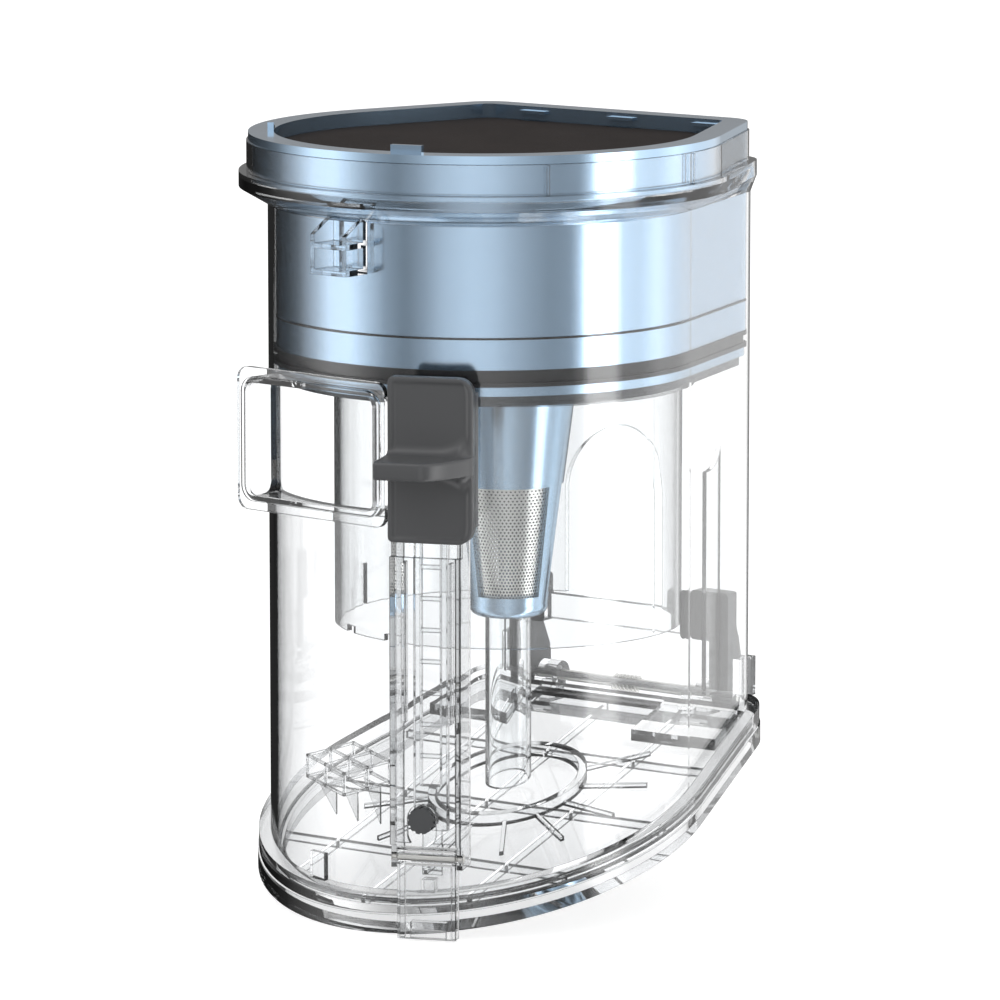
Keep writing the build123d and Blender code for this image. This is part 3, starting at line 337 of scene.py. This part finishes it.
def add_piece(name, verts, faces, body, key, smooth=True):
    """New mesh piece in the row frame, riding on a body."""
    data = bpy.data.meshes.new(name)
    data.from_pydata([tuple(v) for v in verts], [], faces)
    data.validate()
    data.update()
    if smooth:
        data.shade_smooth()
    else:
        data.shade_flat()
    obj = bpy.data.objects.new(name, data)
    bpy.context.scene.collection.objects.link(obj)
    finish_with(obj, key)
    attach(obj, body)
    return obj


# Perforated screen

HOLE_PITCH = 1.65
ROW_PITCH = 1.25
HOLE_R = 0.46
HOLE_SIDES = 8
SCREEN_T = 0.35


def cone_radius(z):
    """Outer radius of the blue cone at a height."""
    return CONE_LOW_R + (CONE_TOP_R - CONE_LOW_R) * (z - CONE_LOW_Z) / (CONE_TOP_Z - CONE_LOW_Z)


def screen_mesh():
    """Conical sheet with staggered round holes: each cell is a ring of faces round its hole; faces on the
    inside and in the holes are listed as shaded, for a painted shade.
    """
    low = CONE_LOW_Z + 1.5
    high = WINDOW_TOP_Z + 2.0
    rows = round((high - low) / ROW_PITCH)
    count = round(2 * pi * cone_radius((low + high) / 2) / HOLE_PITCH)
    verts = []
    faces = []
    shaded = []
    index = {}

    def place(u, z, inset):
        """A place on the cone's inside, a number of hole pitches round it."""
        turn = 2 * pi * u / count
        radius = cone_radius(z) - CONE_WALL - 0.1 - inset
        return point(CYCLONE[0] + radius * cos(turn), CYCLONE[1] + radius * sin(turn), z)

    def shared(u, row, inset):
        """Index of a corner that neighbouring cells use together."""
        key = (round((u % count) * 8), round(row * 4), inset)
        if key not in index:
            index[key] = len(verts)
            verts.append(place(u, low + row * ROW_PITCH, inset))
        return index[key]

    step = (high - low) / rows
    for row in range(rows):
        shift = 0.5 * (row % 2)
        for col in range(count):
            u = col + shift
            z = low + (row + 0.5) * step
            local = cone_radius(z) / cone_radius((low + high) / 2) * HOLE_PITCH
            ring = {}
            for inset in (0, SCREEN_T):
                hole = []
                for k in range(HOLE_SIDES):
                    angle = 2 * pi * (k + 0.5) / HOLE_SIDES
                    hole.append(len(verts))
                    verts.append(place(u + HOLE_R * cos(angle) / local, z + HOLE_R * sin(angle), inset))
                frame_points = [
                    shared(u + 0.5, row + 0.5, inset), shared(u + 0.5, row + 1, inset),
                    shared(u, row + 1, inset), shared(u - 0.5, row + 1, inset),
                    shared(u - 0.5, row + 0.5, inset), shared(u - 0.5, row, inset),
                    shared(u, row, inset), shared(u + 0.5, row, inset)]
                ring[inset] = hole, frame_points
            for inset, (hole, edge) in ring.items():
                for k in range(HOLE_SIDES):
                    a, b = hole[k - 1], hole[k]
                    c, d = edge[k], edge[k - 1]
                    faces.append((a, d, c, b) if inset else (a, b, c, d))
                    shaded.append(bool(inset))
            for k in range(HOLE_SIDES):
                near, far = ring[0][0], ring[SCREEN_T][0]
                faces.append((near[k - 1], far[k - 1], far[k], near[k]))
                shaded.append(True)
    return verts, faces, shaded


verts, faces, shaded = screen_mesh()
screen = add_piece("steel_screen", verts, faces, "cyclone", "steel", smooth=False)
# Painted shade: the inside faces and hole walls get the dark steel
screen.data.materials.append(MATERIALS["screen_painted_shade"])
for polygon, dark in zip(screen.data.polygons, shaded):
    polygon.material_index = int(dark)
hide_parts("mesh_screen")


# Small mouldings of the clear body and the seam of the blue barrel

# Plan of the bin: radius of the round front, place of the flat side, its half width, corner radius
BIN = (88.0, 94.5, 71.0, 14.0)
BARREL_OUT = -6.4
WALL_OUTSIDE = -3.2
SEAM_Z = 229.5
SEAM_HALF_H = 0.3
SEAM_PROUD = 0.15
SEAM_DEEP = 0.1
COLLAR_RIB_DEGS = (49.3, 91.8)
COLLAR_OUTSIDE = 5.0
COLLAR_RIB_PROUD = 1.4
COLLAR_RIB_DEEP = 0.2
COLLAR_RIB_W = 1.0
LIP_TOP_Z = 285.0
RIB_TOP_Z = 296.5
BLOCK_DEG = -14.0
BLOCK_HALF_DEG = 2.8
BLOCK_RISE = 4.5
BLOCK_PROUD = 0.9
BLOCK_H = 11.0
BLOCK_T = 2.0


def spread(start, end, steps):
    """Evenly spaced values, both ends included."""
    return [start + (end - start) * i / steps for i in range(steps + 1)]


def bin_plan(off, arc_steps=72, corner_steps=8):
    """Points round the D plan grown outwards by off: round front, two sides, flat rear."""
    front_r, rear_y, rear_half, corner_r = BIN
    arm = hypot(rear_half - corner_r, rear_y - corner_r)
    turn = atan2(rear_y - corner_r, rear_half - corner_r) - acos((front_r - corner_r) / arm)
    front = front_r + off
    corner = corner_r + off
    cy = rear_y + off - corner
    cx = (front - corner - sin(turn) * cy) / cos(turn)
    right = [(cx + corner * cos(a), cy + corner * sin(a)) for a in spread(turn, pi / 2, corner_steps)]
    left = [(-x, y) for x, y in reversed(right)]
    half = pi / 2 + turn
    round_side = [(front * sin(a), -front * cos(a)) for a in spread(-half, half, arc_steps)]
    return right + left + round_side


def ring_band(outer, inner, low, high):
    """Closed band between two outlines with as many points each."""
    count = len(outer)
    verts = []
    for outline, z in ((outer, low), (outer, high), (inner, high), (inner, low)):
        verts += [point(x, y, z) for x, y in outline]
    faces = []
    for side in range(4):
        for i in range(count):
            j = (i + 1) % count
            a, b = side * count, (side + 1) % 4 * count
            faces.append((a + i, a + j, b + j, b + i))
    return verts, faces


verts, faces = ring_band(
    bin_plan(BARREL_OUT + SEAM_PROUD), bin_plan(BARREL_OUT - SEAM_DEEP),
    SEAM_Z - SEAM_HALF_H, SEAM_Z + SEAM_HALF_H)
add_piece("barrel_seam", verts, faces, "cyclone", "rubber", smooth=False)


def add_box(verts, faces, outline, low, high, place=point):
    """Six faces of an upright block on four places in plan, which go round it in order."""
    first = len(verts)
    for z in (low, high):
        verts += [place(x, y, z) for x, y in outline]
    for quad in ((3, 2, 1, 0), (4, 5, 6, 7), (0, 1, 5, 4), (1, 2, 6, 5), (2, 3, 7, 6), (3, 0, 4, 7)):
        faces.append(tuple(first + k for k in quad))


def add_bar(verts, faces, start, end, low, high, width):
    """Upright strip between two places in plan."""
    run = hypot(end[0] - start[0], end[1] - start[1])
    nx = -(end[1] - start[1]) / run * width / 2
    ny = (end[0] - start[0]) / run * width / 2
    outline = [
        (start[0] - nx, start[1] - ny), (end[0] - nx, end[1] - ny),
        (end[0] + nx, end[1] + ny), (start[0] + nx, start[1] + ny)]
    add_box(verts, faces, outline, low, high)


def polar(degrees_round, radius):
    """A place in plan by its angle from the front, towards +X, and its radius."""
    angle = radians(degrees_round)
    return radius * sin(angle), -radius * cos(angle)


def collar_ribs():
    """Upright ribs outside the collar, over the lip."""
    verts, faces = [], []
    for turn in COLLAR_RIB_DEGS:
        inside = polar(turn, BIN[0] + COLLAR_OUTSIDE - COLLAR_RIB_DEEP)
        outside = polar(turn, BIN[0] + COLLAR_OUTSIDE + COLLAR_RIB_PROUD)
        add_bar(verts, faces, inside, outside, LIP_TOP_Z, RIB_TOP_Z, COLLAR_RIB_W)
    return verts, faces


LATTICE_CORNER = (-10.6, -79.3)
LATTICE_REAR = (-11.0, -49.6)
LATTICE_SIDE = (-44.0, -57.6)
LATTICE_LOW = 49.3
LATTICE_HIGH = 58.6
LATTICE_BAR = 1.0
LATTICE_SHARES = (0.0, 0.5, 1.0)

# Each fin: its shares of the lattice's two sides, and how far it hangs down
FINS = [((0.2, 0.0), 8.6), ((0.0, 0.3), 11.3), ((0.0, 0.8), 15.0)]
FIN_REACH = 0.45
FIN_HALF_T = 0.4


def lattice_place(side, rear):
    """A place in the lattice's plan: shares of its two sides from the near corner."""
    return tuple(
        c + side * (s - c) + rear * (r - c)
        for c, s, r in zip(LATTICE_CORNER, LATTICE_SIDE, LATTICE_REAR))


def lattice():
    """Open box of thin ribs inside the lower front wall, with three fins below it."""
    verts, faces = [], []
    half = LATTICE_BAR / 2
    for share in LATTICE_SHARES:
        for low in (LATTICE_LOW, LATTICE_HIGH - LATTICE_BAR):
            for start, end in (((0, share), (1, share)), ((share, 0), (share, 1))):
                add_bar(
                    verts, faces, lattice_place(*start), lattice_place(*end),
                    low, low + LATTICE_BAR, LATTICE_BAR)
        for other in LATTICE_SHARES:
            x, y = lattice_place(share, other)
            add_bar(verts, faces, (x - half, y), (x + half, y), LATTICE_LOW, LATTICE_HIGH, LATTICE_BAR)
    for (side, rear), drop in FINS:
        add_fin(verts, faces, lattice_place(side, rear), lattice_place(side + FIN_REACH, rear), drop)
    return verts, faces


def add_fin(verts, faces, near, far, drop):
    """Three-cornered rib that hangs below the lattice, deepest at its near end."""
    first = len(verts)
    for shift in (-FIN_HALF_T, FIN_HALF_T):
        verts += [
            point(near[0], near[1] + shift, LATTICE_LOW - drop),
            point(near[0], near[1] + shift, LATTICE_LOW),
            point(far[0], far[1] + shift, LATTICE_LOW)]
    faces += [(first, first + 1, first + 2), (first + 5, first + 4, first + 3)]
    for k in range(3):
        j = (k + 1) % 3
        faces.append((first + k, first + k + 3, first + j + 3, first + j))


def base_block():
    """Small block on the foot flange beside the channel."""
    verts, faces = [], []
    low = FLOOR_LEVEL - SLANT * BIN[0] * cos(radians(BLOCK_DEG)) + BLOCK_RISE
    radius = BIN[0] + WALL_OUTSIDE + BLOCK_PROUD
    left = polar(BLOCK_DEG - BLOCK_HALF_DEG, radius)
    right = polar(BLOCK_DEG + BLOCK_HALF_DEG, radius)
    add_bar(verts, faces, left, right, low, low + BLOCK_H, BLOCK_T)
    return verts, faces


for name, make in (("collar_ribs", collar_ribs), ("corner_lattice", lattice), ("base_block", base_block)):
    verts, faces = make()
    add_piece(name, verts, faces, "bin", "clear", smooth=False)


# Release lever: bordered plate with a thumb ledge that sweeps into its right side

LEVER_X = 5.4
LEVER_W = 33.0
LEVER_LOW_Z = 154.5
LEVER_H = 63.0
LEVER_T = 5.2
LEVER_R = 6.0
LEVER_BACK_Y = -98.0
THUMB_Z = 181.0
THUMB_H = 7.0
THUMB_REACH = 20.8
THUMB_TIP_W = 22.0
BORDER_W = 2.2
BORDER_H = 0.8
BORDER_SLOPE = 0.5
EDGE_ROUND = 0.3
TIP_ROUND = 1.4
SWEEP_START = 4.0              # how far before the ledge's tip ends its sweep begins
LEAST_REACH = 0.5
FILLET_R = 4.0
FILLET_GROWTH = 9.0

# Shares of the way across where the profiles stand: left border, evenly spread middle, right border
LEVER_SHARES = [0, 0.01, 0.03, 0.055, 0.067, 0.1], (0.15, 0.9, 24), [0.933, 0.945, 0.97, 0.99, 1]
BORDER_ROWS = (0.0, 0.12, 0.4, 0.8, 1.0, 1.4)
PLAIN_START = 1.8

# Pieces behind the plate: left, right, depth, low and high
LEVER_TAILS = [(-2.6, 6.6, 3.0, 159.5, 165.5), (19.5, 21.9, 4.0, 160.5, 211.5)]


def at_latch(x, y, z):
    """A place in the release's own plan, turned to where the channel stands."""
    turn = radians(LATCH_DEG)
    return point(x * cos(turn) - y * sin(turn), x * sin(turn) + y * cos(turn), z)


def corner_cut(z, radius):
    """How far a rounded corner takes the plate's side in at a height."""
    near = min(z - LEVER_LOW_Z, LEVER_LOW_Z + LEVER_H - z)
    return radius - sqrt(max(radius ** 2 - (radius - near) ** 2, 0.0)) if near < radius else 0.0


def lever_profile(share):
    """Heights and reach of the front, from foot to top, at a share of the way across."""
    swept = LEVER_W - THUMB_TIP_W + SWEEP_START
    across = min(max((share * LEVER_W - THUMB_TIP_W + SWEEP_START) / swept, 0.0), 1.0)
    reach = max(THUMB_REACH * (1.0 - across ** 1.6) ** 0.9, LEAST_REACH)
    fillet = FILLET_R + FILLET_GROWTH * across ** 2
    low, high, top = LEVER_LOW_Z, THUMB_Z, THUMB_Z + THUMB_H
    end = LEVER_LOW_Z + LEVER_H
    soft = min(TIP_ROUND, reach / 3)
    foot = min(fillet, reach - soft)
    lower = [(low + BORDER_W * k, 0.0) for k in BORDER_ROWS]
    lower += [(z, 0.0) for z in spread(low + PLAIN_START * BORDER_W, high - fillet, 5)[:-1]]
    lower += [(high - fillet * (1 - sin(a)), foot * (1 - cos(a))) for a in spread(0, pi / 2, 7)]
    lower += [(high + soft * (1 - cos(a)), reach - soft * (1 - sin(a))) for a in spread(0, pi / 2, 4)]
    upper = []
    for z, depth in reversed(lower):
        rise = (high - z) * (end - top) / (high - low) if z < high - fillet else high - z
        upper.append((top + rise, depth))
    return lower + upper


def lever_front(share, z, depth):
    """Place on the lever's front, with its border and rounded outer edge: across, and how far out."""
    left = LEVER_X - LEVER_W / 2 + corner_cut(z, LEVER_R / 3)
    right = LEVER_X + LEVER_W / 2 - corner_cut(z, LEVER_R)
    x = left + share * (right - left)
    rim = min(x - left, right - x, z - LEVER_LOW_Z, LEVER_LOW_Z + LEVER_H - z)
    border = BORDER_H * min(max((BORDER_W - rim) / BORDER_SLOPE, 0.0), 1.0)
    edge = min(rim / BORDER_SLOPE, 1.0) * EDGE_ROUND - EDGE_ROUND
    return x, LEVER_BACK_Y - LEVER_T + BORDER_H - max(depth, border) - edge


def lever_mesh():
    """Closed skin of the lever: profiles across the plate, joined to a flat back."""
    verts, faces = [], []
    columns = []
    across = []
    first, middle, last = LEVER_SHARES
    for share in first + spread(*middle) + last:
        column = []
        for z, depth in lever_profile(share):
            x, y = lever_front(share, z, depth)
            column.append(len(verts))
            across.append((x, z))
            verts.append(at_latch(x, y, z))
        columns.append(column)
    for a, b in zip(columns, columns[1:]):
        for k in range(len(a) - 1):
            faces.append((a[k], b[k], b[k + 1], a[k + 1]))
    loop = [c[0] for c in columns] + columns[-1][1:] + [c[-1] for c in reversed(columns[:-1])]
    loop += list(reversed(columns[0]))[1:-1]
    back = [len(verts) + k for k in range(len(loop))]
    for i in loop:
        x, z = across[i]
        verts.append(at_latch(x, LEVER_BACK_Y, z))
    for k in range(len(loop)):
        j = (k + 1) % len(loop)
        faces.append((loop[j], loop[k], back[k], back[j]))
    faces.append(tuple(reversed(back)))
    return verts, faces


def add_lever_tail(x0, x1, depth, low, high):
    """Block behind the lever's plate, sunk a little into it."""
    verts, faces = [], []
    y0 = LEVER_BACK_Y - 1
    y1 = LEVER_BACK_Y + depth
    add_box(verts, faces, [(x0, y0), (x1, y0), (x1, y1), (x0, y1)], low, high, at_latch)
    add_piece(f"lever_tail_{low:.0f}", verts, faces, "release", "dark", smooth=False)


verts, faces = lever_mesh()
lever = add_piece("thumb_lever", verts, faces, "release", "dark")
for tail in LEVER_TAILS:
    add_lever_tail(*tail)
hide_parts("release_lever")


# Studio: pale floor, soft lamps and a world that is white to the camera

CAMERA_TURN = 34.83
CAMERA_PITCH = 9.19
LENS_PX = 7000.0
PX_PER_MM = 2.55
TARGET = (0.0, 16.0, 152.8)
CENTRE_PX = 509.9
FLOOR_HALF = 30.0
FLOOR_GAP = 0.0002
FLOOR_GLOW = 0.78


def seen_directly(tree):
    """Two masks: a ray from the camera, also through clear walls, and a ray that a gloss has turned."""
    path = tree.nodes.new("ShaderNodeLightPath")
    mirrored = tree.nodes.new("ShaderNodeMath")
    mirrored.operation = "GREATER_THAN"
    mirrored.inputs[1].default_value = 0.5
    tree.links.new(path.outputs["Glossy Depth"], mirrored.inputs[0])
    straight = tree.nodes.new("ShaderNodeMath")
    straight.operation = "MAXIMUM"
    tree.links.new(path.outputs["Is Camera Ray"], straight.inputs[0])
    tree.links.new(path.outputs["Is Transmission Ray"], straight.inputs[1])
    seen = tree.nodes.new("ShaderNodeMath")
    seen.operation = "SUBTRACT"
    seen.use_clamp = True
    tree.links.new(straight.outputs["Value"], seen.inputs[0])
    tree.links.new(mirrored.outputs["Value"], seen.inputs[1])
    return seen.outputs["Value"], mirrored.outputs["Value"]


def make_floor():
    """Pale floor that glows softly to the camera and isn't there for what gloss reflects."""
    data = bpy.data.meshes.new("studio_floor")
    half = FLOOR_HALF
    low = -HEIGHT * MM - FLOOR_GAP
    corners = [(-half, -half, low), (half, -half, low), (half, half, low), (-half, half, low)]
    data.from_pydata(corners, [], [(0, 1, 2, 3)])
    floor = bpy.data.objects.new("studio_floor", data)
    bpy.context.scene.collection.objects.link(floor)
    made = bpy.data.materials.new("pale_floor")
    made.use_nodes = True
    tree = made.node_tree
    tree.nodes.clear()
    out = tree.nodes.new("ShaderNodeOutputMaterial")
    seen, mirrored = seen_directly(tree)
    glow = tree.nodes.new("ShaderNodeEmission")
    glow.inputs["Color"].default_value = (1, 1, 1, 1)
    share = tree.nodes.new("ShaderNodeMath")
    share.operation = "MULTIPLY"
    share.inputs[1].default_value = FLOOR_GLOW
    tree.links.new(seen, share.inputs[0])
    tree.links.new(share.outputs["Value"], glow.inputs["Strength"])
    matt = tree.nodes.new("ShaderNodeBsdfDiffuse")
    matt.inputs["Color"].default_value = (0.5, 0.5, 0.5, 1)
    both = tree.nodes.new("ShaderNodeAddShader")
    tree.links.new(glow.outputs["Emission"], both.inputs[0])
    tree.links.new(matt.outputs["BSDF"], both.inputs[1])
    gone = tree.nodes.new("ShaderNodeBsdfTransparent")
    pick = tree.nodes.new("ShaderNodeMixShader")
    tree.links.new(mirrored, pick.inputs["Fac"])
    tree.links.new(both.outputs["Shader"], pick.inputs[1])
    tree.links.new(gone.outputs["BSDF"], pick.inputs[2])
    tree.links.new(pick.outputs["Shader"], out.inputs["Surface"])
    data.materials.append(made)


# Radiance of the studio round the horizon, by degrees from the camera's side
STRIPS = [
    (-180, 0.03), (-150, 0.02), (-132, 0.06), (-120, 0.2), (-110, 0.6), (-103, 0.95), (-92, 1.7),
    (-78, 1.8), (-66, 1.05), (-56, 0.55), (-44, 0.34), (-34, 0.55), (-22, 0.98), (-8, 1.2), (4, 1.08),
    (14, 0.8), (24, 0.6), (34, 0.45), (46, 0.5), (52, 1.2), (57, 4.5), (71, 4.5), (77, 1.6), (90, 1.4),
    (104, 1.9), (120, 1.3), (145, 1.1), (160, 0.3), (180, 0.03)]
OVERHEAD = 0.8


def make_world():
    """White to the camera; to gloss it is a studio of tall soft strips and dark gaps."""
    world = bpy.data.worlds.new("studio")
    bpy.context.scene.world = world
    world.use_nodes = True
    tree = world.node_tree
    tree.nodes.clear()
    link = tree.links.new
    out = tree.nodes.new("ShaderNodeOutputWorld")
    place = tree.nodes.new("ShaderNodeTexCoord")
    turn = radians(CAMERA_TURN)
    axes = []
    for axis in ((sin(turn), -cos(turn), 0), (cos(turn), sin(turn), 0)):
        dot = tree.nodes.new("ShaderNodeVectorMath")
        dot.operation = "DOT_PRODUCT"
        dot.inputs[1].default_value = axis
        link(place.outputs["Generated"], dot.inputs[0])
        axes.append(dot.outputs["Value"])
    angle = tree.nodes.new("ShaderNodeMath")
    angle.operation = "ARCTAN2"
    link(axes[1], angle.inputs[0])
    link(axes[0], angle.inputs[1])
    span = tree.nodes.new("ShaderNodeMapRange")
    span.inputs["From Min"].default_value = -pi
    span.inputs["From Max"].default_value = pi
    link(angle.outputs["Value"], span.inputs["Value"])
    ramp = tree.nodes.new("ShaderNodeValToRGB")
    peak = max(level for degrees_round, level in STRIPS)
    stops = ramp.color_ramp.elements
    stops.remove(stops[1])
    stops[0].color = (*[STRIPS[0][1] / peak] * 3, 1)
    for degrees_round, level in STRIPS[1:]:
        stops.new((degrees_round + 180) / 360).color = (*[level / peak] * 3, 1)
    link(span.outputs["Result"], ramp.inputs["Fac"])
    split = tree.nodes.new("ShaderNodeSeparateXYZ")
    link(place.outputs["Generated"], split.inputs["Vector"])
    rise = tree.nodes.new("ShaderNodeMapRange")
    rise.inputs["From Min"].default_value = -0.02
    rise.inputs["From Max"].default_value = 0.35
    link(split.outputs["Z"], rise.inputs["Value"])
    blend = tree.nodes.new("ShaderNodeMix")
    blend.data_type = "RGBA"
    blend.inputs["B"].default_value = (*[OVERHEAD / peak] * 3, 1)
    link(rise.outputs["Result"], blend.inputs["Factor"])
    link(ramp.outputs["Color"], blend.inputs["A"])
    studio = tree.nodes.new("ShaderNodeBackground")
    studio.inputs["Strength"].default_value = peak
    link(blend.outputs["Result"], studio.inputs["Color"])
    white = tree.nodes.new("ShaderNodeBackground")
    white.inputs["Color"].default_value = (1, 1, 1, 1)
    seen, mirrored = seen_directly(tree)
    mix = tree.nodes.new("ShaderNodeMixShader")
    link(seen, mix.inputs["Fac"])
    link(studio.outputs["Background"], mix.inputs[1])
    link(white.outputs["Background"], mix.inputs[2])
    link(mix.outputs["Shader"], out.inputs["Surface"])


def add_lamp(name, turn, height, distance, size, power):
    """Soft square lamp that faces the bin from a direction given from the front, towards +X."""
    data = bpy.data.lights.new(name, "AREA")
    data.shape = "SQUARE"
    data.size = size
    data.energy = power
    lamp = bpy.data.objects.new(name, data)
    bpy.context.scene.collection.objects.link(lamp)
    angle = radians(turn)
    lamp.location = (distance * sin(angle), -distance * cos(angle), height)
    aim = Vector((0, 0, -0.15)) - lamp.location
    lamp.rotation_euler = aim.to_track_quat("-Z", "Y").to_euler()


def make_camera():
    """Long lens at the photograph's viewing angle."""
    data = bpy.data.cameras.new("camera")
    data.sensor_width = 36.0
    data.lens = LENS_PX / 1000 * 36.0
    data.clip_end = 100.0
    turn, pitch = radians(CAMERA_TURN), radians(CAMERA_PITCH)
    back = Vector((sin(turn) * cos(pitch), -cos(turn) * cos(pitch), sin(pitch)))
    right = Vector((cos(turn), sin(turn), 0))
    distance = LENS_PX / PX_PER_MM * MM
    camera = bpy.data.objects.new("camera", data)
    bpy.context.scene.collection.objects.link(camera)
    camera.location = point(*TARGET) + back * distance - right * (CENTRE_PX - 500) / PX_PER_MM * MM
    camera.rotation_euler = (-back).to_track_quat("-Z", "Y").to_euler()
    bpy.context.scene.camera = camera


make_floor()
make_world()
add_lamp("key_lamp", -20, 1.6, 1.4, 1.2, 5.0)
add_lamp("fill_lamp", 80, 1.2, 1.6, 1.2, 3.0)
add_lamp("back_lamp", 200, 1.4, 1.5, 1.2, 3.0)
make_camera()
bpy.context.scene.view_settings.view_transform = "Standard"
